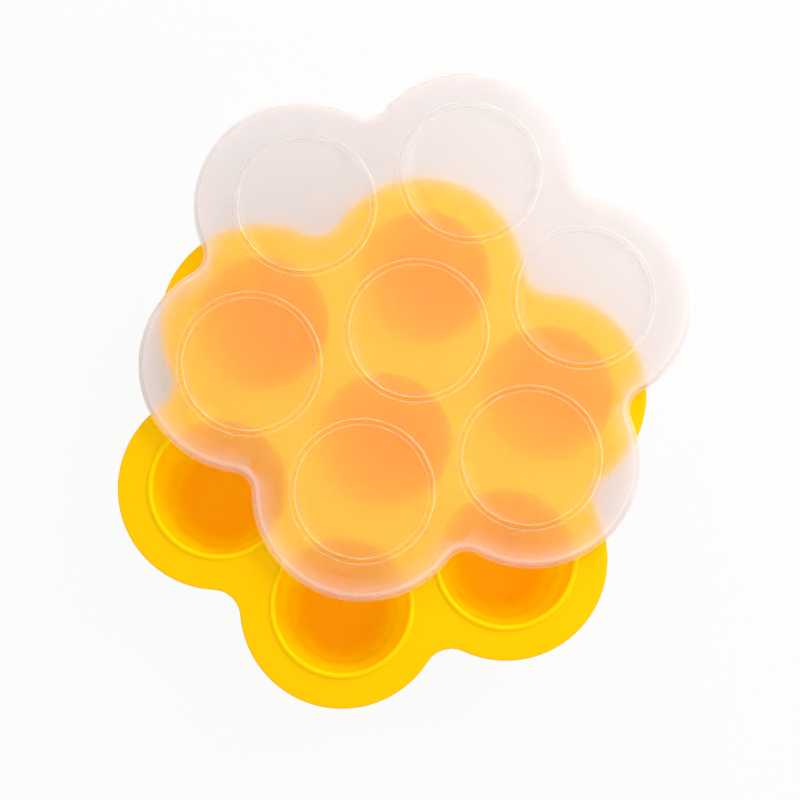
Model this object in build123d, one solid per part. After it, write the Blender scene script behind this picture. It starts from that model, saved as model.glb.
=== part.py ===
"""Flower-shaped freezer tray for baby food, with its clip-on lid lying askew on top.

Two mouldings. The tray is soft silicone: seven round cups hang from one flat, six-petalled flange, and a
round bead stands about every cup's mouth. The lid is a thin milky moulding of the same outline: a plate
with a ring channel over each bead, and a turned-down skirt whose inner lip snaps under the flange.

Millimetres and degrees. The origin is the centre of the middle cup's flat foot, +Z is up, and +X runs
through the centre of an outer cup.
"""

from build123d import *

import os
from math import cos, radians, sin, sqrt, tan

# ---- Cups -------------------------------------------------------------------------------------------
outer_cups = 6  # cups round the middle one
cup_pitch = 62.8  # from one cup's centre to the next
mouth_radius = 24.75  # inside, at the flange's top face
cup_depth = 40.0  # from the flange's top face to the cup's floor
wall_draft = 9.0  # how far the cup's wall leans out
floor_round = 12.0  # inside radius between wall and floor
wall_thickness = 1.8  # of the cup's wall and floor

# ---- Flange and beads -------------------------------------------------------------------------------
flange_thickness = 2.2
flange_width = 12.85  # from the mouth to the petal's edge
valley_radius = 10.2  # of the hollow curve between two petals
flange_edge_bevel = 0.6
root_bevel = 2.0  # under the flange, where the cup's wall leaves it
bead_radius = 0.95  # of the half-round bead about each mouth

# ---- Lid --------------------------------------------------------------------------------------------
lid_thickness = 1.0  # of the plate and of the skirt
skirt_clearance = 1.0  # between the flange's edge and the skirt
skirt_edge_round = 2.6  # outside, where the plate turns down into the skirt
hem_height = 1.6  # of the thicker hem at the skirt's foot
hem_flare = 0.55  # how far the hem stands out from the skirt
hem_lead = 1.9  # of skirt below the snap lip
lip_grip = 0.5  # how far the snap lip reaches in under the flange
lip_height = 1.3
seat_clearance = 0.15  # between the closed lid's plate and the flange
lip_clearance = 0.2  # between the flange and the snap lip below it
channel_clearance = 0.15  # round the bead, in the ring channel
channel_wall = 0.45  # beside the channel
channel_roof = 0.85  # over the channel
channel_bevel = 0.4  # on the channel's outside shoulders

# ---- How the lid lies on the tray -------------------------------------------------------------------
lid_shift_x = 22.94
lid_shift_y = 35.11
lid_turn = -4.77
lid_rest_gap = 0.3  # between the lid's hem and the tops of the beads

# ---- Worked out from the sizes above ----------------------------------------------------------------
petal_step = 360 / outer_cups
flange_top = wall_thickness + cup_depth
petal_radius = mouth_radius + flange_width
bead_centre = mouth_radius + bead_radius
skirt_depth = seat_clearance + flange_thickness + lip_clearance + lip_height + hem_lead
lid_base = flange_top + bead_radius + lid_rest_gap
hem_bevel = 0.8 * min(hem_flare, hem_height / 2)


def turned(angle, distance, height=0):
    """A point at this distance from the middle, turned by this angle about it."""
    return Vector(distance * cos(radians(angle)), distance * sin(radians(angle)), height)


def petal_face(growth):
    """The tray's outline, offset outwards by growth: a petal arc about each outer cup, and a hollow arc
    between neighbours that is tangent to both."""
    petal = petal_radius + growth
    valley = valley_radius - growth
    half = petal_step / 2
    half_chord = cup_pitch * sin(radians(half))
    valley_centre = cup_pitch * cos(radians(half)) + sqrt((petal + valley) ** 2 - half_chord**2)
    edges = []
    for k in range(outer_cups):
        cup = turned(petal_step * k, cup_pitch)
        before = turned(petal_step * k - half, valley_centre)
        after = turned(petal_step * k + half, valley_centre)
        start = cup + (before - cup).normalized() * petal
        finish = cup + (after - cup).normalized() * petal
        following = turned(petal_step * (k + 1), cup_pitch)
        next_start = following + (after - following).normalized() * petal
        edges.append(ThreePointArc(start, turned(petal_step * k, cup_pitch + petal), finish))
        edges.append(ThreePointArc(finish, turned(petal_step * k + half, valley_centre - valley), next_start))
    return make_face(edges)


def petal_block(growth, low, high):
    """The grown outline, from height low to height high."""
    return Pos(0, 0, low) * extrude(petal_face(growth), high - low)


def top_rim(block):
    """The edges round the block's top face."""
    return block.faces().sort_by(Axis.Z)[-1].edges()


def rims(block):
    """The edges round the block's top and bottom faces."""
    return top_rim(block) + block.faces().sort_by(Axis.Z)[0].edges()


def cup_places():
    """The middle of every cup: the one in the centre, then those round it."""
    return [Location((0, 0, 0))] + [
        Location(turned(petal_step * k, cup_pitch)) for k in range(outer_cups)
    ]


# ---- Tray -------------------------------------------------------------------------------------------
def wall_point(height, skin):
    """Where the cup's leaning wall stands at a height: its inside for a skin of 0, or that much further out."""
    lean = radians(wall_draft)
    return mouth_radius - (flange_top - height) * tan(lean) + skin / cos(lean), height


def cup_section(skin, top, rim):
    """Half of a cup's section, with a rounded floor corner. The rim is a list of edges that carries the
    section on from the wall at height top; its last point is level with the section's top on the axis."""
    floor = wall_thickness - skin
    corner = wall_point(floor, skin)
    last = rim[-1] @ 1
    section = make_face(
        [Line((0, floor), corner), Line(corner, wall_point(top, skin)), *rim]
        + [Line(last, (0, last.Y)), Line((0, last.Y), (0, floor))]
    )
    rounded = section.vertices().sort_by_distance(Vector(*corner))[0]
    return fillet(rounded, floor_round + skin)


def spin(section):
    """The solid that a half section makes when it is spun about the cup's own upright axis."""
    return revolve(Plane.XZ * section, Axis.Z)


def cup_body():
    """The outside of one cup, filled, with the bevel that strengthens its root under the flange."""
    underside = flange_top - flange_thickness
    root = wall_point(underside - root_bevel, wall_thickness)
    shoulder = (root[0] + root_bevel, underside)
    into_flange = (shoulder[0], underside + flange_thickness / 2)
    return spin(cup_section(wall_thickness, root[1], [Line(root, shoulder), Line(shoulder, into_flange)]))


def cup_hollow():
    """What one cup holds, with a little headroom above its mouth."""
    headroom = Line((mouth_radius, flange_top), (mouth_radius, flange_top + flange_thickness))
    return spin(cup_section(0, flange_top, [headroom]))


def bead():
    """The half-round ring that stands about one mouth."""
    start = (mouth_radius, flange_top)
    crown = (bead_centre, flange_top + bead_radius)
    finish = (mouth_radius + 2 * bead_radius, flange_top)
    return spin(make_face([ThreePointArc(start, crown, finish), Line(finish, start)]))


def make_tray():
    """Flange, cups and beads, as one moulding."""
    flange = petal_block(0, flange_top - flange_thickness, flange_top)
    flange = chamfer(rims(flange), flange_edge_bevel)
    body, hollow, ridge = cup_body(), cup_hollow(), bead()
    places = cup_places()
    tray = flange + [place * body for place in places]
    tray = tray - [place * hollow for place in places]
    return tray + [place * ridge for place in places]


# ---- Lid --------------------------------------------------------------------------------------------
def ring(half_width, low, high):
    """The section of a ring over a bead, of this half width, from height low to high."""
    return Pos(bead_centre, (low + high) / 2) * Rectangle(2 * half_width, high - low)


def make_lid():
    """Plate, skirt, hem, snap lip and ring channels, as one moulding that stands on its hem at height 0."""
    skirt_outside = skirt_clearance + lid_thickness
    plate_top = skirt_depth + lid_thickness
    shell = petal_block(skirt_outside, 0, plate_top)
    shell = fillet(top_rim(shell), skirt_edge_round)
    inside = petal_block(skirt_clearance, 0, skirt_depth)
    inside = fillet(top_rim(inside), skirt_edge_round - lid_thickness)
    hem = petal_block(skirt_outside + hem_flare, 0, hem_height)
    hem = chamfer(rims(hem), hem_bevel)
    lip_top = hem_lead + lip_height
    lip = petal_block(skirt_clearance + lid_thickness / 2, hem_lead, lip_top)
    lip = lip - petal_block(-lip_grip, hem_lead, lip_top)

    channel_half = bead_radius + channel_clearance
    channel_top = skirt_depth - seat_clearance + channel_half
    channel = spin(ring(channel_half, skirt_depth - seat_clearance, channel_top))
    ridge = ring(channel_half + channel_wall, skirt_depth + lid_thickness / 2, channel_top + channel_roof)
    ridge = spin(chamfer(ridge.vertices().group_by(Axis.Y)[-1], channel_bevel))

    places = cup_places()
    lid = (shell + hem - inside) + lip
    lid = lid + [place * ridge for place in places]
    return lid - [place * channel for place in places]


pieces = {
    "tray": make_tray(),
    "lid": Location((lid_shift_x, lid_shift_y, lid_base), (0, 0, lid_turn)) * make_lid(),
}

os.makedirs("parts", exist_ok=True)
for name, piece in pieces.items():
    export_step(piece, f"parts/{name}.step")
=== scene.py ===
"""The looks of a flower-shaped freezer tray for baby food, and of the milky lid askew on it.

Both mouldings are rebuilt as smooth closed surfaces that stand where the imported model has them.
Each surface is made of seven round cells, one to a cup, that meet on the lines half way between
the cups. Round its cup's centre a cell is a profile spun about the cup's axis. From there it
spreads to its own border, and where that border is the flower's outline, strips that follow the
outline carry the profile over the edge to the other side.
Lengths are metres, heights are above the surface that the tray stands on.
"""

from math import cos, radians, sin, sqrt, tan

import bpy
import numpy as np
from bpy.props import FloatProperty, FloatVectorProperty, IntProperty, PointerProperty
from mathutils import Matrix, Vector


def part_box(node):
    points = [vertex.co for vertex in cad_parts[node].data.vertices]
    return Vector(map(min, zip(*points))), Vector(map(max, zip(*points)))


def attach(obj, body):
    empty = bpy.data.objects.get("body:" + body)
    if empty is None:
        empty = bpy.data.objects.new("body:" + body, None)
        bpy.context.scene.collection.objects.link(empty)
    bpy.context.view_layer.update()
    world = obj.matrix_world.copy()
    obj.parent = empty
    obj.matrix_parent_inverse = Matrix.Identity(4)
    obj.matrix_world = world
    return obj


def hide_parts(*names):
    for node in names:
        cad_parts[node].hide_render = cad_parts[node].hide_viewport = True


bl_info = {
    "name": "Freezer Tray Dressing",
    "version": (1, 0, 0),
    "blender": (4, 5, 0),
    "location": "3D View > Sidebar > Freezer Tray",
    "description": "Builds the silicone tray, its milky lid, and the pale studio that they lie in",
    "category": "Add Mesh",
}

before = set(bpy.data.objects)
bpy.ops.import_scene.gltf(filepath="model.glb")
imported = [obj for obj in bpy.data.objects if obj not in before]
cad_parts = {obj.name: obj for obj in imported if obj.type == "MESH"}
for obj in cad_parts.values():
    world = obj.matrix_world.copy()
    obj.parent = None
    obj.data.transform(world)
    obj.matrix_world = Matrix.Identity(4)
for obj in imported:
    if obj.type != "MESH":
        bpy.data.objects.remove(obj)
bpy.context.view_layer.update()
TRAY_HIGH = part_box("tray")[1]
LID_LOW, LID_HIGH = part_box("lid")

# ---- How the surfaces are divided -------------------------------------------------------------
PETAL_TURNS = [radians(60 * k) for k in range(6)]  # the bearings of the six outer cups from +X
PETALS = len(PETAL_TURNS)
PETAL_STEP = radians(60)
COLUMNS = 120  # of a cell, all the way round
# The columns in which an outer cell's border changes, as Flower.angles gives their angles.
OUTER_STOPS = (0, 10, 33, 36, 84, 87, 110, 120)
EDGE_COLUMNS = slice(OUTER_STOPS[2], OUTER_STOPS[5] + 1)  # the columns on the flower's outline
# From an outer cell's outward direction: the bearing of the neighbouring cup, and of the corner
# where the half-way line to it meets the half-way line to the middle cup.
NEIGHBOUR, INNER_CORNER = radians(120), radians(150)
LEVEL_SHARES = (0.05, 0.25, 0.5, 0.75, 1)  # rows between a cell's last circle and its border
STEPS = {  # along each part of a profile
    "floor": 3, "floor round": 14, "wall": 8, "bead": 12, "root": 6, "flange edge": 5,
    "plate": 5, "half ridge": 9, "shoulder": 8, "skirt": 3, "small round": 3, "lip": 2,
    "inner round": 6,
}
MERGE = 1e-7  # points that are the same in steps of this length become one
ANGLE_SLACK = 1e-9

# ---- Fixed numbers of the shapes ----------------------------------------------------------------
BEAD_SPREAD = 2.15  # from a bead's inner foot to the last circle round it, in bead radii
# Where the painted glow on the beads and up the cups' walls lies. It stands in for light coming
# through the thin silicone.
BEAD_GLOW_REACH = 1.6  # from a bead's crest to where its tone ends, in bead radii
BEAD_GLOW_DEPTH = 0.1  # how far below the flange's top face that tone reaches, in bead radii
WALL_GLOW_START = 1.5  # how high above the foot the tone of a cup's wall starts, in walls
SLOTS = ("plate", "near_border", "border", "ridge", "roof", "rim", "hem")  # the lid's materials
THIN_SLOTS = ("ridge", "roof", "rim", "hem")  # those of its thin or curved parts
OVERHANG = radians(60)  # the bearing, on the level lid, of the petal that overhangs most

# ---- Fixed numbers of the finishes, where a scale is in features to the metre -------------------
NOISE_LOW, NOISE_HIGH = 0.3, 0.7  # the levels that a noise mostly stays between
BUMP_DEPTH = 0.0001
SATIN_PATCHES, SATIN_SPREAD = 60, 0.04  # a scale, and how far the silicone's roughness goes off
SATIN_GRAINS, SATIN_BUMP = 2600, 0.12  # a scale, and the bump's strength
SATIN_SHEEN = 0.04  # the silicone's specular level
FROST_GRAINS, FROST_EDGE = 9000, 0.02  # a scale, and how sharply a clearer grain ends
FROST_RIPPLES, FROST_BUMP = 700, 0.05  # a scale, and the bump's strength

# ---- Fixed numbers of the studio ----------------------------------------------------------------
FLOOR_GREY, FLOOR_ROUGH = 0.65, 0.9
FLOOR_PLAIN = 0.93  # share of plain white in the floor as the camera sees it directly
SKY_EDGE, OVERHEAD_EDGE = 0.55, 0.9  # sines of the heights between which the even light changes
KEY_AIM = (0.02, 0.02, 0.04)  # the point that the large soft lamp shines at
SENSOR_WIDTH = 36.0  # in millimetres
CLIP_NEAR, CLIP_FAR = 0.01, 50.0


# ---- Sizes and colours that a user would change -------------------------------------------------
def length(name, description, default):
    """A size in metres."""
    return FloatProperty(name=name, description=description, default=default, min=0.0,
                         unit="LENGTH", precision=5)


def colour(name, description, default):
    """A linear colour."""
    return FloatVectorProperty(name=name, description=description, default=default, size=3,
                               min=0, max=1, subtype="COLOR")


def fraction(name, description, default):
    """A share from 0 to 1."""
    return FloatProperty(name=name, description=description, default=default, min=0.0, max=1.0,
                         subtype="FACTOR")


def angle(name, description, degrees):
    """An angle, given in degrees and kept in radians."""
    return FloatProperty(name=name, description=description, default=radians(degrees),
                         subtype="ANGLE")


def point(name, description, default):
    """A place in the scene."""
    return FloatVectorProperty(name=name, description=description, size=3, default=default,
                               subtype="TRANSLATION")


def number(name, description, default):
    """A plain number."""
    return FloatProperty(name=name, description=description, default=default)


class TraySizes(bpy.types.PropertyGroup):
    """The silicone tray's sizes."""
    pitch: length("Cup pitch", "From one cup's centre to the next", 0.0628)
    mouth: length("Mouth radius", "Inside radius of a cup at the flange's top face", 0.02475)
    depth: length("Cup depth", "From the flange's top face to the cup's floor", 0.040)
    draft: angle("Wall draft", "How far a cup's wall leans out", 9.0)
    floor_round: length("Floor round", "Inside radius between wall and floor", 0.012)
    wall: length("Wall", "Thickness of the cups' walls and floors", 0.0018)
    flange: length("Flange", "Thickness of the flange", 0.0022)
    flange_width: length("Flange width", "From a mouth to the petal's edge", 0.01285)
    valley: length("Valley radius", "Of the hollow curve between two petals", 0.0102)
    edge_round: length("Edge round", "Of the flange's upper and lower edge", 0.0006)
    root_round: length("Root round", "Under the flange, where a cup's wall leaves it", 0.002)
    bead: length("Bead radius", "Of the half-round bead about each mouth", 0.00095)


class LidSizes(bpy.types.PropertyGroup):
    """The milky lid's sizes."""
    turn: angle("Turn", "How far the lid lies turned on the tray", -4.77)
    plate: length("Plate", "Thickness of the plate and of the skirt", 0.001)
    clearance: length("Skirt clearance", "Between the tray's outline and the skirt's inside",
                      0.001)
    skirt: length("Skirt depth", "From the plate's underside to the hem's foot", 0.00575)
    shoulder: length("Shoulder round", "Outside, where the plate turns down into the skirt",
                     0.0026)
    hem: length("Hem height", "Of the thicker hem at the skirt's foot", 0.0016)
    flare: length("Hem flare", "How far the hem stands out from the skirt", 0.00055)
    lip_foot: length("Lip foot", "From the hem's foot to the snap lip", 0.0019)
    lip: length("Lip height", "Of the snap lip", 0.0013)
    grip: length("Lip grip", "How far the snap lip reaches in under the tray's outline", 0.0005)
    ring: length("Ring radius", "From a ring's centre to the middle of its channel", 0.0257)
    channel: length("Channel half width", "Of the ring channel on the lid's underside", 0.0011)
    channel_rise: length("Channel rise", "Of the channel's roof above the plate's underside",
                         0.00095)
    ridge: length("Ridge half width", "Of the ridge over the channel", 0.0014)
    ridge_rise: length("Ridge rise", "Of the ridge above the plate", 0.0007)
    droop: length("Droop", "How far the furthest petal's tip sags where nothing carries it",
                  0.006)
    droop_reach: length("Droop reach", "How far past the tray's flange that tip is", 0.045)
    bow: number("Bow", "How much wider than moulded the sagging lid's border is, across the "
                "direction in which it overhangs", 0.012)


class Finishes(bpy.types.PropertyGroup):
    """Colours and surface finish, with the painted light and glow on the tray's cups and beads."""
    yellow: colour("Silicone", "The tray's yellow", (1.0, 0.56, 0.0))
    # Painted glow: the cups' walls are painted a lighter yellow half way up, which stands in for
    # light coming through the thin walls.
    wall_painted_glow: colour("Cup wall", "The tray's yellow where light comes through a cup's thin wall",
                 (1.0, 0.78, 0.0))
    # Painted light: the cups' insides are painted a little lighter than the flange, for the little
    # light that comes through their floors and upper walls.
    cup_painted_light: colour("Cup", "The same, on the cups' floors and below their mouths, where little "
                  "light comes through", (1.0, 0.58, 0.0))
    # Painted glow: the beads are painted a lighter yellow, for light coming through the thin
    # raised silicone.
    bead_painted_glow: colour("Bead", "The lighter yellow of the thin raised beads", (1.0, 0.65, 0.0))
    silicone_rough: number("Silicone roughness", "Of the tray", 0.45)
    milk: colour("Milky plastic", "The lid's tint", (0.975, 0.93, 0.925))
    plate_clear: fraction("Plate clearness",
                          "Share of light that goes through the plate's faces", 0.98)
    near_border_clear: fraction("Near border clearness", "The same, for the underside's second "
                                "row of faces from the border", 0.93)
    border_clear: fraction("Border clearness", "The same, for the row along the border", 0.85)
    ridge_clear: fraction("Ridge clearness", "The same, for the flanks of the ring ridges", 0.87)
    roof_clear: fraction("Roof clearness", "The same, for the thin roof of the ring channels",
                         1.0)
    rim_clear: fraction("Rim clearness",
                        "The same, for the shoulder, the skirt and the snap lip", 0.85)
    hem_clear: fraction("Hem clearness", "The same, for the hem", 0.9)
    lid_rough: number("Lid frosting", "Roughness of the lid's faces", 1.0)
    lid_clear_rough: number("Clear grain roughness", "Of the clearer grains in the lid's faces",
                            0.1)
    grain: number("Clear grains", "The level of noise below which a grain in the lid's faces is "
                  "a clearer one, so that more of them are clear when it is higher", 0.465)
    lid_index: number("Lid index", "Index of refraction of the lid's plastic", 1.35)
    edge_index: number("Edge index", "The same, where the lid is thin or curved, so that its "
                       "edges stay light", 1.08)


class StudioSizes(bpy.types.PropertyGroup):
    """Camera, light and floor."""
    camera_at: point("Camera", "Where the camera stands", (-0.0300, -0.0896, 1.0357))
    camera_aim: point("Aim", "The point in the middle of the view", (0.0103, 0.0128, 0.0418))
    camera_up: angle("Upward bearing", "The bearing from +X that is up in the view", 73.86)
    focal: number("Focal length", "In millimetres, on a 36 mm sensor", 121.37)
    floor: length("Floor", "Half the side of the floor", 3.0)
    sky: number("Sky", "Strength of the even light from all round", 1.15)
    overhead: number("Overhead", "The same, straight overhead", 0.5)
    key: number("Key light", "Power of the large soft lamp, in watts", 2.35)
    key_at: point("Key light at", "Where the large soft lamp hangs", (0.45, 0.2, 0.4))
    key_size: length("Key light size", "Across the large soft lamp", 0.5)
    through: number("White through the lid", "Share of plain white in the floor seen through "
                    "the lid", 0.35)
    sky_through: number("Sky through the lid", "The same, for the world", 1.0)
    bounces: IntProperty(name="Light bounces", description="Inside the cups and through the lid",
                         default=16, min=4)


# ---- Surfaces -----------------------------------------------------------------------------------
class Flower:
    """The outline of six petals: an arc about each outer cup, and a hollow arc between neighbours
    that is tangent to both. Growing it by a length offsets it outwards."""

    def __init__(self, pitch, petal, valley):
        self.pitch, self.petal, self.valley = pitch, petal, valley
        self.reach = petal + valley  # from a cup's centre to a hollow arc's centre
        self.hollow = pitch * cos(PETAL_STEP / 2) + sqrt(self.reach**2 - (pitch / 2) ** 2)
        self.tangent = self.bearing_of(self.hollow)

    def bearing_of(self, out):
        """The angle, from a cell's outward direction, of the point that lies this far out on the
        half-way line to its neighbour: the arc tangent of its distance across over that along."""
        return float(np.arctan2(out / 2, out * cos(PETAL_STEP / 2) - self.pitch))

    def corner(self, growth):
        """The same, of the point where the grown outline meets the half-way line."""
        return self.bearing_of(self.hollow - self.valley + growth)

    def angles(self, growth):
        """The columns' angles from the outward direction, in even steps between the stops of the
        border: the inward direction, the inner corner, the outline's corner, the end of the
        petal's arc, and the same on the other side."""
        corner = self.corner(growth)
        stops = [-np.pi, -INNER_CORNER, -corner, -self.tangent,
                 self.tangent, corner, INNER_CORNER, np.pi]
        return np.interp(np.arange(COLUMNS), OUTER_STOPS, stops)

    def rim(self, growth):
        """How far the border of an outer cell stands from its cup's centre in each column. On the
        petal it is the arc's radius. On the hollow arc, at the angle a from its centre's bearing,
        it is reach*cos(a) less sqrt(valley^2 - (reach*sin(a))^2). On a half-way line it is half
        the pitch over the cosine of the angle from the cup beyond that line."""
        angles = np.abs(self.angles(growth))
        petal, valley = self.petal + growth, self.valley - growth
        past = angles - self.tangent
        sideways = np.maximum(valley**2 - (self.reach * np.sin(past)) ** 2, 0)
        hollow = self.reach * np.cos(past) - np.sqrt(sideways)
        towards = np.where(angles < INNER_CORNER, NEIGHBOUR, np.pi)
        line_between = self.pitch / 2 / np.cos(angles - towards)
        edge = np.where(past <= 0, petal, hollow)
        return np.where(angles <= self.corner(growth) + ANGLE_SLACK, edge, line_between)

    def middle_angles(self):
        """The columns' angles in the middle cell, in even steps."""
        return np.linspace(-np.pi, np.pi, COLUMNS, endpoint=False)

    def middle_rim(self):
        """The middle cell's border: a hexagon, half the pitch over the cosine of the angle from
        the nearest neighbour."""
        angles = self.middle_angles()
        return self.pitch / 2 / np.cos(angles - PETAL_STEP * np.round(angles / PETAL_STEP))

    def petals(self):
        """For each outer cup: its centre, and its bearing from the middle."""
        for turn in PETAL_TURNS:
            yield (self.pitch * cos(turn), self.pitch * sin(turn)), turn

    def cells(self, growth):
        """For each of the seven cells: its centre, its columns' bearings from +X, and its
        border's distances."""
        yield (0.0, 0.0), self.middle_angles(), self.middle_rim()
        for centre, turn in self.petals():
            yield centre, self.angles(growth) + turn, self.rim(growth)

    def from_cups(self, points):
        """How far each point is from the middle of its nearest cup, seen from above."""
        centres = np.array([(0, 0)] + [centre for centre, _ in self.petals()])
        return np.linalg.norm(points[:, None, :2] - centres[None], axis=2).min(1)


def place(centre, bearing, distance, height):
    """Points at these distances and heights along these bearings from a cell's centre, as one
    array."""
    distance, height = np.broadcast_arrays(distance, height)
    x, y = centre[0] + distance * np.cos(bearing), centre[1] + distance * np.sin(bearing)
    return np.stack([x, y, height], -1)


def sheet_out(flower, growth, spun):
    """Seven sheets seen from above: the spun profile's (radius, height) points as circles, then
    level rows that go from the last circle to the cell's border by the level shares of the way."""
    radius, height = np.array(spun).T
    shares = np.array(LEVEL_SHARES)[:, None]
    for centre, bearing, rim in flower.cells(growth):
        circles = np.repeat(radius[:, None], COLUMNS, 1)
        spread = radius[-1] + shares * (rim - radius[-1])
        level = np.concatenate([height, np.full(len(shares), height[-1])])[:, None]
        yield place(centre, bearing, np.concatenate([circles, spread]), level)


def sheet_in(flower, growth, spun):
    """The same, seen from below: the rows run from the border in to the centre."""
    for sheet in sheet_out(flower, growth, spun):
        yield sheet[::-1]


def strips(flower, profile):
    """Six strips that carry a profile of (growth, height) points along the outline's petals."""
    for centre, turn in flower.petals():
        rows = [
            place(centre, (flower.angles(growth) + turn)[EDGE_COLUMNS],
                  flower.rim(growth)[EDGE_COLUMNS], height)
            for growth, height in profile
        ]
        yield np.stack(rows)


def arc(centre, radius, start, finish, steps):
    """Points on a circle's arc between two angles in degrees."""
    a = np.radians(np.linspace(start, finish, steps + 1))
    return np.stack([centre[0] + radius * np.cos(a), centre[1] + radius * np.sin(a)], 1)


def line(start, finish, steps):
    """Points on a straight line, without its first."""
    return np.linspace(start, finish, steps + 1)[1:]


def mesh_of(name, grids, slots=()):
    """One closed mesh from grids of points. Neighbouring rows and columns make four-sided faces,
    a grid with all its columns closes on itself, and points that fall together become one. slots
    numbers each grid's material: one number, or an array of them by row and column."""
    points, faces, kinds, first = [], [], [], 0
    for n, grid in enumerate(grids):
        rows, columns = grid.shape[:2]
        index = first + np.arange(rows * columns).reshape(rows, columns)
        if columns == COLUMNS:
            index = np.concatenate([index, index[:, :1]], 1)
        quads = np.stack([index[:-1, :-1], index[1:, :-1], index[1:, 1:], index[:-1, 1:]], -1)
        points.append(grid.reshape(-1, 3))
        faces.append(quads.reshape(-1, 4))
        kinds.append(np.broadcast_to(slots[n] if slots else 0, quads.shape[:2]).ravel())
        first += rows * columns
    points, faces, kinds = np.concatenate(points), np.concatenate(faces), np.concatenate(kinds)
    _, kept, merged = np.unique(np.round(points / MERGE).astype(np.int64), axis=0,
                                return_index=True, return_inverse=True)
    points, faces = points[kept], merged.reshape(-1)[faces]
    fresh = faces != np.roll(faces, -1, axis=1)  # a corner that repeats its neighbour is dropped
    sides = fresh.sum(1)
    faces, fresh, sides, kinds = (part[sides > 2] for part in (faces, fresh, sides, kinds))
    starts = np.concatenate([[0], np.cumsum(sides)[:-1]])
    mesh = bpy.data.meshes.new(name)
    mesh.vertices.add(len(points))
    mesh.vertices.foreach_set("co", points.astype(np.float32).ravel())
    mesh.loops.add(int(sides.sum()))
    mesh.loops.foreach_set("vertex_index", faces[fresh].astype(np.int32))
    mesh.polygons.add(len(faces))
    mesh.polygons.foreach_set("loop_start", starts.astype(np.int32))
    mesh.polygons.foreach_set("material_index", kinds.astype(np.int32))
    mesh.update(calc_edges=True)
    mesh.validate()
    mesh.shade_smooth()
    piece = bpy.data.objects.new(name, mesh)
    bpy.context.scene.collection.objects.link(piece)
    return piece


def points_of(piece, key="co"):
    """A mesh's points as an array, or its normals at them with the key "normal"."""
    flat = np.empty(len(piece.data.vertices) * 3, np.float32)
    piece.data.vertices.foreach_get(key, flat)
    return flat.reshape(-1, 3).astype(float)


def set_points(piece, points):
    """Puts an array of points back into a mesh."""
    piece.data.vertices.foreach_set("co", points.astype(np.float32).ravel())
    piece.data.update()


def paint(piece, name, values):
    """Keeps one value at each of a mesh's points, for its material to read."""
    layer = piece.data.attributes.new(name, "FLOAT", "POINT")
    layer.data.foreach_set("value", values.astype(np.float32))


def smooth_step(x):
    """From 0 to 1 with level ends: 3x^2 - 2x^3."""
    x = np.clip(x, 0, 1)
    return x * x * (3 - 2 * x)


# ---- The silicone tray --------------------------------------------------------------------------
def tray_flower(s):
    """The tray's outline."""
    return Flower(s.pitch, s.mouth + s.flange_width, s.valley)


def floor_radius(s):
    """The radius of a cup's flat floor: the mouth's, less how far the wall leans over the depth,
    less what the floor's round takes off, round*tan(half the turn from floor to wall)."""
    return (s.mouth - s.depth * tan(s.draft)
            - s.floor_round * tan((radians(90) - s.draft) / 2))


def cup_inside(s, top):
    """From the middle of a cup's floor, round its corner, up the leaning wall and over the
    half-round bead, as (radius, height) points that end just past the bead on the flange."""
    floor = top - s.depth
    corner = arc((floor_radius(s), floor + s.floor_round), s.floor_round,
                 -90, -np.degrees(s.draft), STEPS["floor round"])
    bead = arc((s.mouth + s.bead, top), s.bead, 180, 0, STEPS["bead"])
    return np.concatenate([
        [(0, floor)], line((0, floor), corner[0], STEPS["floor"]), corner[1:],
        line(corner[-1], (s.mouth, top), STEPS["wall"]), bead[1:],
        [(s.mouth + BEAD_SPREAD * s.bead, top)],
    ])


def cup_outside(s, top):
    """From the middle of a cup's flat foot, round its corner and up the wall to the hollow round
    under the flange, as (radius, height) points that end on the flange's underside."""
    lean, low = s.draft, top - s.flange - s.root_round
    outer_round = s.floor_round + s.wall
    foot = arc((floor_radius(s), outer_round), outer_round,
               -90, -np.degrees(lean), STEPS["floor round"])
    root_middle = s.mouth - (top - low) * tan(lean) + (s.wall + s.root_round) / cos(lean)
    root = arc((root_middle, low), s.root_round, 180 - np.degrees(lean), 90, STEPS["root"])
    return np.concatenate([
        [(0, 0)], line((0, 0), foot[0], STEPS["floor"]), foot[1:],
        line(foot[-1], root[0], STEPS["wall"]), root[1:],
    ])


def build_tray(s):
    """The whole tray: cup insides and flange, the flange's rounded edge, and cup outsides."""
    flower, top = tray_flower(s), TRAY_HIGH.z - s.bead
    e, under = s.edge_round, top - s.flange
    edge = np.concatenate([arc((-e, top - e), e, 90, 0, STEPS["flange edge"]),
                           arc((-e, under + e), e, 0, -90, STEPS["flange edge"])])
    tray = mesh_of("silicone_tray", [
        *sheet_out(flower, -e, cup_inside(s, top)),
        *strips(flower, edge),
        *sheet_in(flower, -e, cup_outside(s, top)),
    ])
    paint_light_masks(tray, flower, s, top)
    return tray


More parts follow.
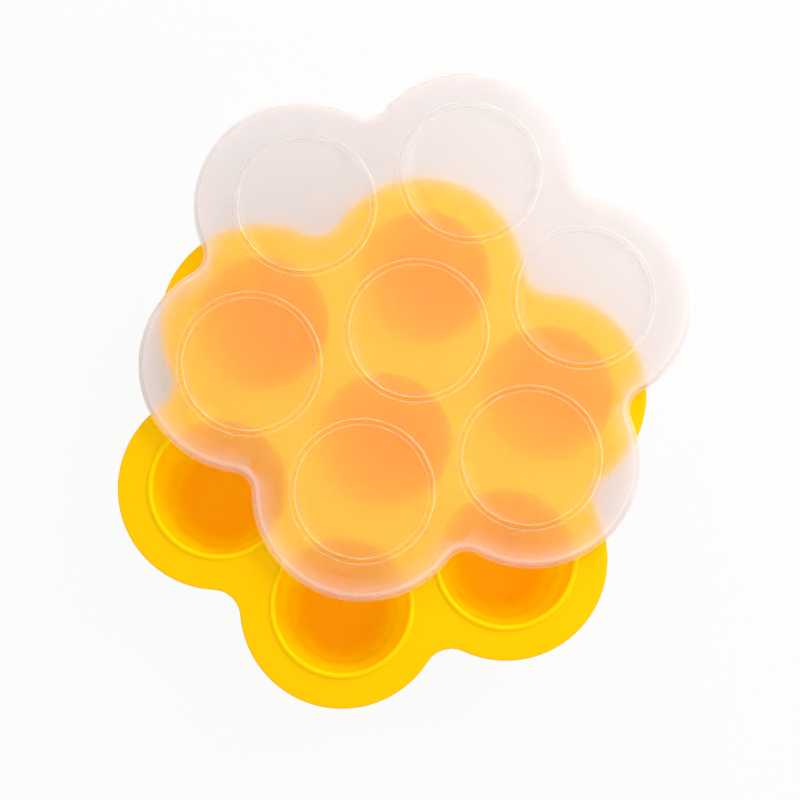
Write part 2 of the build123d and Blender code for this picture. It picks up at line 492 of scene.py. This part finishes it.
def paint_light_masks(tray, flower, s, top):
    """Paints three masks of painted light on the tray, each from 0 to 1. bead is 1 on the beads'
    crests and fades by smooth_step of the distance from them; it carries a painted glow. cup is 1
    all over the cups' insides, for a painted tone of light through the walls. wall is there too,
    as one smooth_step up from the floor's round times one down from the mouth, for a brighter
    painted glow half way up the walls."""
    points = points_of(tray)
    height, away = points[:, 2], flower.from_cups(points)
    from_crest = np.abs(away - s.mouth - s.bead) / s.bead
    on_top = height > top - BEAD_GLOW_DEPTH * s.bead
    # The bead mask: where the beads get their painted glow.
    paint(tray, "bead", smooth_step(BEAD_GLOW_REACH - from_crest) * on_top)
    inside = (away < s.mouth) & (points_of(tray, "normal")[:, 2] > 0)
    over_floor = smooth_step((height - WALL_GLOW_START * s.wall) / (s.floor_round / 2))
    below_mouth = smooth_step((top - height) / (s.depth / 2))
    # The wall and cup masks: where the painted glow up the walls and the painted light in the cups
    # go.
    paint(tray, "wall", inside * over_floor * below_mouth)
    paint(tray, "cup", inside)


# ---- The milky lid ------------------------------------------------------------------------------
def ridge_profile(s, half, foot, rise):
    """A low ridge or channel round a ring, of this half width: (radius, height) points of its
    smooth section, a raised flat with S-shaped flanks, rise*smooth_step, that are a third of the
    half width wide."""
    flank = half / 3
    across = np.linspace(-half, half, 2 * STEPS["half ridge"] + 1)
    lift = smooth_step((half - np.abs(across)) / flank)
    return np.stack([s.ring + across, foot + rise * lift], 1)


def ridge_slots(first, count, rows):
    """The material slots of an upper sheet's rows: the plate's, but for the two flanks of the
    ridge, whose profile has this count of points from row first on, and the thin roof between
    them, which starts and ends a sixth of those points and one row in."""
    slots = np.full((rows, 1), SLOTS.index("plate"))
    flank, last = count // 6 + 1, first + count - 1
    slots[first:last] = SLOTS.index("ridge")
    slots[first + flank:last - flank] = SLOTS.index("roof")
    return slots


def border_slots(rows):
    """The material slots of an outer cell's lower sheet: the plate's, but for two rows along the
    outline."""
    slots = np.full((rows, COLUMNS), SLOTS.index("plate"))
    for row, name in enumerate(("border", "near_border")):
        slots[row, EDGE_COLUMNS.start:EDGE_COLUMNS.stop - 1] = SLOTS.index(name)
    return slots


def bowed(points, flower, s):
    """The level lid's points with its border drawn out across the bearing of the petal that
    overhangs most: by the share bow of their distance from that line, and by less from the border
    in to the rings, as smooth_step goes."""
    across = np.array([-sin(OVERHANG), cos(OVERHANG)])
    near = s.ring + s.ridge
    weight = smooth_step((flower.from_cups(points) - near) / (flower.petal - near))
    points[:, :2] += (s.bow * weight * (points[:, :2] @ across))[:, None] * across
    return points


def droop_of(points, middle, flower, s):
    """How far the laid lid sags at each point. Nothing sags over the tray. Past its flange the
    sag is droop times the square of the distance to the flange over the reach, times a share that
    grows from 0 to 1 along the bearing of the petal that overhangs most, from half way to that
    petal's centre to its tip."""
    past = np.maximum(flower.from_cups(points) - flower.petal, 0)
    past = np.where(np.linalg.norm(points[:, :2], axis=1) < flower.pitch, 0, past)
    bearing = OVERHANG + s.turn
    along = (points[:, :2] - middle) @ np.array([cos(bearing), sin(bearing)])
    start, tip = flower.pitch / 2, flower.pitch + flower.petal
    return s.droop * (past / s.droop_reach) ** 2 * np.clip((along - start) / (tip - start), 0, 1)


def rim_profiles(s):
    """The lid's rim in three profiles of (growth, height) points, each of which starts where the
    one before it ends: the shoulder, the skirt's outside with the hem, and the skirt's inside
    with the snap lip, up to the plate's underside."""
    under, top = s.skirt, s.skirt + s.plate
    outside, inside = s.clearance + s.plate, s.clearance
    small = STEPS["small round"]
    shoulder = arc((outside - s.shoulder, top - s.shoulder), s.shoulder, 90, 0,
                   STEPS["shoulder"])
    soft, wide = s.hem / 4, outside + s.flare  # the hem's corners have this radius
    hem = np.concatenate([
        shoulder[-1:],
        line(shoulder[-1], (outside, s.hem + soft), STEPS["skirt"]),
        arc((wide - soft, s.hem - soft), soft, 90, 0, small),
        arc((wide - soft, soft), soft, 0, -90, small),
        arc((inside + soft, soft), soft, -90, -180, small),
    ])
    tip, lip_top = s.lip / 5, s.lip_foot + s.lip  # the snap lip's corners have this radius
    inner_round = s.shoulder - s.plate
    lip = np.concatenate([
        hem[-1:],
        line(hem[-1], (inside, s.lip_foot), STEPS["lip"]),
        arc((tip - s.grip, s.lip_foot + tip), tip, -90, -180, small),
        arc((tip - s.grip, lip_top - tip), tip, 180, 90, small),
        line((tip - s.grip, lip_top), (inside, lip_top), STEPS["lip"]),
        line((inside, lip_top), (inside, under - inner_round), STEPS["lip"]),
        arc((inside - inner_round, under - inner_round), inner_round, 0, 90,
            STEPS["inner round"])[1:],
    ])
    return shoulder, hem, lip


def build_lid(s, tray):
    """The whole lid: plate with its ridges, shoulder, skirt, hem, snap lip, and the plate's
    underside with its channels. It is built level, then bowed, turned, laid in its place, and
    sagged where nothing carries it."""
    flower = tray_flower(tray)
    under, top = s.skirt, s.skirt + s.plate
    shoulder, hem, lip = rim_profiles(s)
    ridge = ridge_profile(s, s.ridge, top, s.ridge_rise)
    channel = ridge_profile(s, s.channel, under, s.channel_rise)
    plate_up = [(0, top), *line((0, top), ridge[0], STEPS["plate"]), *ridge[1:]]
    plate_down = [(0, under), *line((0, under), channel[0], STEPS["plate"]), *channel[1:]]
    grids = [
        *sheet_out(flower, shoulder[0][0], plate_up),
        *strips(flower, shoulder),
        *strips(flower, hem),
        *strips(flower, lip),
        *sheet_in(flower, lip[-1][0], plate_down),
    ]
    upper = ridge_slots(STEPS["plate"], len(ridge), len(plate_up) + len(LEVEL_SHARES) - 1)
    lower = border_slots(len(plate_down) + len(LEVEL_SHARES) - 1)
    rim, hem_slot, plate = (SLOTS.index(name) for name in ("rim", "hem", "plate"))
    lid = mesh_of("milky_lid", grids, [
        *[upper] * (PETALS + 1), *[rim] * PETALS, *[hem_slot] * PETALS, *[rim] * PETALS,
        plate, *[lower] * PETALS,
    ])
    middle = (LID_LOW + LID_HIGH) / 2
    points = bowed(points_of(lid), flower, s)
    turn = np.array(Matrix.Rotation(s.turn, 3, "Z"))
    points = points @ turn.T + np.array([middle.x, middle.y, LID_LOW.z])
    points[:, 2] -= droop_of(points, np.array(middle)[:2], flower, s)
    set_points(lid, points)
    return lid


# ---- Finishes -----------------------------------------------------------------------------------
class Finish:
    """A material or world under construction: its nodes, its shader, and short ways to add to
    them."""

    def __init__(self, owner):
        owner.use_nodes = True
        self.owner = owner
        self.nodes, self.links = owner.node_tree.nodes, owner.node_tree.links
        self.shader = self.nodes.get("Principled BSDF") or self.nodes["Background"]

    def add(self, kind, inputs=None, **settings):
        """A node with these settings, and these values or links on its inputs."""
        node = self.nodes.new(kind)
        for key, value in settings.items():
            setattr(node, key, value)
        for key, value in (inputs or {}).items():
            self.set(node, key, value)
        return node

    def set(self, node, key, value):
        """Links an output to an input, or gives the input a value."""
        if isinstance(value, bpy.types.NodeSocket):
            self.links.new(value, node.inputs[key])
        else:
            node.inputs[key].default_value = value

    def surface(self, **inputs):
        """Sets the surface shader's inputs, with underscores for spaces in their names."""
        for key, value in inputs.items():
            self.set(self.shader, key.replace("_", " "), value)

    def painted(self, name):
        """The value that a mesh's points keep under this name."""
        return self.add("ShaderNodeAttribute", attribute_name=name).outputs["Fac"]

    def noise(self, scale, detail=3.0):
        """A noise of this many features to the metre, in the object's own coordinates."""
        place_on = self.add("ShaderNodeTexCoord").outputs["Object"]
        return self.add("ShaderNodeTexNoise", {"Vector": place_on, "Scale": scale,
                                               "Detail": detail}).outputs["Fac"]

    def between(self, value, low, high, start=NOISE_LOW, stop=NOISE_HIGH):
        """A value that goes from low to high as another goes from start to stop."""
        return self.add("ShaderNodeMapRange", {"Value": value, "From Min": start,
                                               "From Max": stop, "To Min": low,
                                               "To Max": high}).outputs["Result"]

    def mix(self, share, first, second):
        """A colour between two, each a linear colour or another node's output."""
        node = self.add("ShaderNodeMix", {0: share}, data_type="RGBA")
        for key, value in ((6, first), (7, second)):
            self.set(node, key, value if isinstance(value, bpy.types.NodeSocket) else (*value, 1))
        return node.outputs[2]

    def bump(self, height, strength):
        """A bumped normal from a height."""
        return self.add("ShaderNodeBump", {"Height": height, "Strength": strength,
                                           "Distance": BUMP_DEPTH}).outputs["Normal"]


def silicone(look):
    """Satin moulded silicone: one strong yellow on the flange and the outsides. Over it lie
    painted light and glow for light coming through the thin silicone: a painted tone a little
    lighter on the cups' insides, a brighter painted glow half way up the cups' walls, and a
    painted glow on the beads."""
    f = Finish(bpy.data.materials.new("yellow_silicone"))
    body = look.yellow
    # Paints the light and glow of light through the thin silicone over the yellow.
    for name, tone in (("cup", look.cup_painted_light), ("wall", look.wall_painted_glow), ("bead", look.bead_painted_glow)):
        body = f.mix(f.painted(name), body, tone)
    rough = look.silicone_rough
    f.surface(
        Base_Color=body,
        Roughness=f.between(f.noise(SATIN_PATCHES), rough - SATIN_SPREAD, rough + SATIN_SPREAD),
        Specular_IOR_Level=SATIN_SHEEN,
        Normal=f.bump(f.noise(SATIN_GRAINS, 2.0), SATIN_BUMP),
    )
    return f.owner


def milky(look, name, clear, index):
    """Milky plastic with frosted faces, of which this share is clear. Between its frosted grains
    are clearer ones, so what lies beneath keeps a faint edge in a wide blur."""
    f = Finish(bpy.data.materials.new(name))
    f.surface(
        Base_Color=(*look.milk, 1),
        Roughness=f.between(f.noise(FROST_GRAINS, 1.0), look.lid_clear_rough, look.lid_rough,
                            look.grain - FROST_EDGE, look.grain + FROST_EDGE),
        IOR=index,
        Transmission_Weight=clear,
        Normal=f.bump(f.noise(FROST_RIPPLES, 2.0), FROST_BUMP),
    )
    return f.owner


# ---- The studio ---------------------------------------------------------------------------------
def seen_directly(f, plain, through):
    """The share of plain white in a background: plain for what the camera sees directly or in a
    mirror, through for what it sees through the lid, and 0 for light on the object."""
    path = f.add("ShaderNodeLightPath").outputs
    either = f.add("ShaderNodeMath", {0: path["Is Camera Ray"], 1: path["Is Glossy Ray"]},
                   operation="MAXIMUM").outputs[0]
    open_view = f.add("ShaderNodeMath", {0: either, 1: plain}, operation="MULTIPLY").outputs[0]
    return f.add("ShaderNodeMix", {0: path["Is Transmission Ray"], 2: open_view,
                                   3: through}).outputs[0]


def build_floor(s):
    """A level white floor. What the camera sees of it is mostly an even white, with the object's
    soft shadow kept in the rest."""
    half = s.floor
    corners = [(-half, -half, 0), (half, -half, 0), (half, half, 0), (-half, half, 0)]
    mesh = bpy.data.meshes.new("studio_floor")
    mesh.from_pydata(corners, [], [(0, 1, 2, 3)])
    floor = bpy.data.objects.new("studio_floor", mesh)
    bpy.context.scene.collection.objects.link(floor)
    f = Finish(bpy.data.materials.new("white_floor"))
    f.surface(Base_Color=(FLOOR_GREY, FLOOR_GREY, FLOOR_GREY, 1), Roughness=FLOOR_ROUGH,
              Specular_IOR_Level=0.0)
    white = f.add("ShaderNodeEmission", {"Color": (1, 1, 1, 1), "Strength": 1.0})
    blend = f.add("ShaderNodeMixShader")
    f.set(blend, 0, seen_directly(f, FLOOR_PLAIN, s.through))
    f.links.new(f.shader.outputs[0], blend.inputs[1])
    f.links.new(white.outputs[0], blend.inputs[2])
    f.links.new(blend.outputs[0], f.nodes["Material Output"].inputs["Surface"])
    mesh.materials.append(f.owner)


def build_light(s):
    """Even light from all round, weaker overhead, and one large soft lamp above on one side. What
    the camera sees of the world itself is plain white."""
    f = Finish(bpy.data.worlds.new("studio_light"))
    direction = f.add("ShaderNodeTexCoord").outputs["Generated"]
    height = f.add("ShaderNodeSeparateXYZ", {0: direction}).outputs["Z"]
    light = f.add("ShaderNodeMapRange", {"Value": height, "From Min": SKY_EDGE,
                                         "From Max": OVERHEAD_EDGE, "To Min": s.sky,
                                         "To Max": s.overhead},
                  interpolation_type="SMOOTHSTEP").outputs[0]
    white = seen_directly(f, 1.0, s.sky_through)
    strength = f.add("ShaderNodeMix", {0: white, 2: light, 3: 1.0}).outputs[0]
    f.surface(Color=(1, 1, 1, 1), Strength=strength)
    bpy.context.scene.world = f.owner
    lamp = bpy.data.lights.new("key_light", "AREA")
    lamp.shape, lamp.size, lamp.energy = "DISK", s.key_size, s.key
    holder = bpy.data.objects.new("key_light", lamp)
    holder.location = s.key_at
    aim = Vector(KEY_AIM) - holder.location
    holder.rotation_euler = aim.to_track_quat("-Z", "Y").to_euler()
    bpy.context.scene.collection.objects.link(holder)


def build_camera(s):
    """A camera at camera_at that looks at camera_aim, turned so that the bearing camera_up is up
    in its view."""
    place_at, aim = Vector(s.camera_at), Vector(s.camera_aim)
    back = (place_at - aim).normalized()
    bearing = Vector((cos(s.camera_up), sin(s.camera_up), 0))
    up = back.cross(bearing.cross(Vector((0, 0, 1)))).normalized()
    right = up.cross(back)
    lens = bpy.data.cameras.new("studio_camera")
    lens.lens, lens.sensor_width, lens.sensor_fit = s.focal, SENSOR_WIDTH, "HORIZONTAL"
    lens.clip_start, lens.clip_end = CLIP_NEAR, CLIP_FAR
    camera = bpy.data.objects.new("studio_camera", lens)
    turned = Matrix((right, up, back)).transposed().to_4x4()
    camera.matrix_world = Matrix.Translation(place_at) @ turned
    bpy.context.scene.collection.objects.link(camera)
    bpy.context.scene.camera = camera


# ---- Operators and panel ------------------------------------------------------------------------
class TRAY_OT_silicone(bpy.types.Operator):
    """Builds the silicone tray"""
    bl_idname = "freezer_tray.silicone"
    bl_label = "Silicone tray"

    def execute(self, context):
        scene = context.scene
        tray = build_tray(scene.tray_sizes)
        tray.data.materials.append(silicone(scene.tray_finishes))
        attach(tray, "tray")
        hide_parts("tray")
        return {"FINISHED"}


class TRAY_OT_lid(bpy.types.Operator):
    """Builds the milky lid"""
    bl_idname = "freezer_tray.lid"
    bl_label = "Milky lid"

    def execute(self, context):
        scene = context.scene
        look = scene.tray_finishes
        lid = build_lid(scene.lid_sizes, scene.tray_sizes)
        for name in SLOTS:
            index = look.edge_index if name in THIN_SLOTS else look.lid_index
            clear = getattr(look, f"{name}_clear")
            lid.data.materials.append(milky(look, f"milky_{name}", clear, index))
        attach(lid, "lid")
        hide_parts("lid")
        return {"FINISHED"}


class TRAY_OT_studio(bpy.types.Operator):
    """Builds the floor, the light and the camera"""
    bl_idname = "freezer_tray.studio"
    bl_label = "Studio"

    def execute(self, context):
        scene = context.scene
        s = scene.tray_studio
        build_floor(s)
        build_light(s)
        build_camera(s)
        scene.view_settings.view_transform = "Standard"
        cycles = scene.cycles
        cycles.max_bounces = cycles.diffuse_bounces = cycles.transmission_bounces = s.bounces
        return {"FINISHED"}


class TRAY_PT_sidebar(bpy.types.Panel):
    """The tray's pieces, sizes and colours"""
    bl_idname = "TRAY_PT_sidebar"
    bl_label = "Freezer Tray"
    bl_space_type = "VIEW_3D"
    bl_region_type = "UI"
    bl_category = "Freezer Tray"

    def draw(self, context):
        for operator in OPERATORS:
            self.layout.operator(operator.bl_idname)
        for name, group in GROUPS.items():
            column = self.layout.column(align=True)
            for key in group.__annotations__:
                column.prop(getattr(context.scene, name), key)


GROUPS = {
    "tray_sizes": TraySizes,
    "lid_sizes": LidSizes,
    "tray_finishes": Finishes,
    "tray_studio": StudioSizes,
}
OPERATORS = (TRAY_OT_silicone, TRAY_OT_lid, TRAY_OT_studio)


def register():
    """Registers the groups, operators and panel, and hangs the groups on the scene."""
    for cls in (*GROUPS.values(), *OPERATORS, TRAY_PT_sidebar):
        bpy.utils.register_class(cls)
    for name, group in GROUPS.items():
        setattr(bpy.types.Scene, name, PointerProperty(type=group))


def unregister():
    """Takes all of it away again."""
    for name in GROUPS:
        delattr(bpy.types.Scene, name)
    for cls in reversed((*GROUPS.values(), *OPERATORS, TRAY_PT_sidebar)):
        bpy.utils.unregister_class(cls)


def main():
    """Builds the tray, the lid and the studio."""
    register()
    bpy.ops.freezer_tray.silicone()
    bpy.ops.freezer_tray.lid()
    bpy.ops.freezer_tray.studio()
    bpy.context.view_layer.update()


if __name__ == "__main__":
    main()
